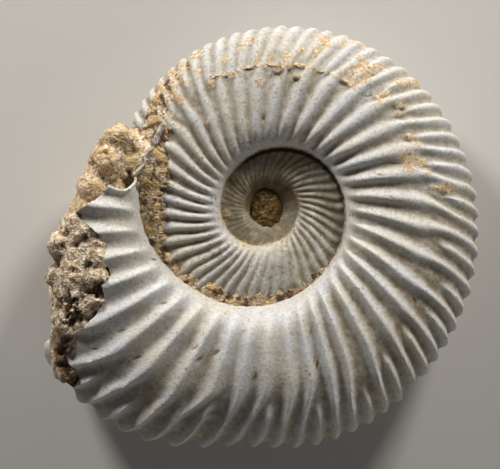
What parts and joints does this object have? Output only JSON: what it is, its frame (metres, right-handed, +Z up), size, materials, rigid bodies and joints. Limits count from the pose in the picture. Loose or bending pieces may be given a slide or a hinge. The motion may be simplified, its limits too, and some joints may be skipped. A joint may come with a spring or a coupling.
{
  "type": "fossil ammonite",
  "caption": "Coiled, ribbed fossil ammonite shell lying on one flank, with sandstone in its broken body chamber and in its umbilicus.",
  "frame": {"origin": "on the surface that the fossil lies on, below the middle of its bounding box", "axes": "+Z up, along the coil axis but for a small resting tilt; +Y away from the broad lower side of the last whorl, so that the broken aperture is on the -X side"},
  "size_m": [0.086, 0.0844, 0.0276],
  "materials": {
    "shell": "fossil aragonite shell, satin, cream white with sand in the ribs",
    "sandstone": "coarse golden sandstone, matt",
    "plug": "dark brown sandstone, matt"
  },
  "bodies": {
    "root": {"shell": "shell", "body_chamber_sandstone": "sandstone", "umbilicus_plug_upper": "plug", "umbilicus_plug_lower": "plug"}
  },
  "joints": []
}
